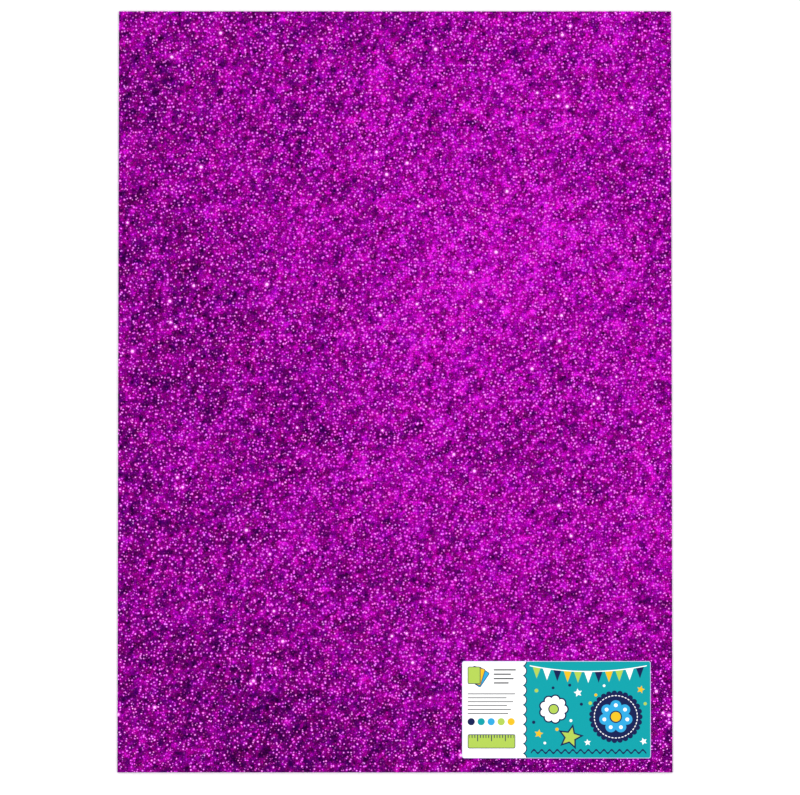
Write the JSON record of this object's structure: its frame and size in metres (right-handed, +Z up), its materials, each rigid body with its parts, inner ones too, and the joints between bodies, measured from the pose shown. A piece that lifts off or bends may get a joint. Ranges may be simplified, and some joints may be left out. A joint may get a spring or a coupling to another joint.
{
  "type": "craft foam sheet",
  "caption": "Thin flat rectangular sheet of soft craft foam with a glitter-covered face and a rectangular paper label near one corner.",
  "frame": {"origin": "middle of the sheet's underside", "axes": "+Z up out of the glitter face, +Y along the sheet's length, away from the labelled end, +X across it, towards the labelled side"},
  "size_m": [0.5, 0.7, 0.0022],
  "materials": {
    "glitter_foam": "closed-cell purple foam, its upper face covered in overlapping magenta and purple glitter flakes set in a clear binder, its cut edges and underside bare and matte",
    "printed_paper": "smooth coated paper sticker printed in teal, navy, lime and white"
  },
  "bodies": {
    "root": {"foam_sheet": "glitter_foam", "label": "printed_paper"}
  },
  "joints": []
}
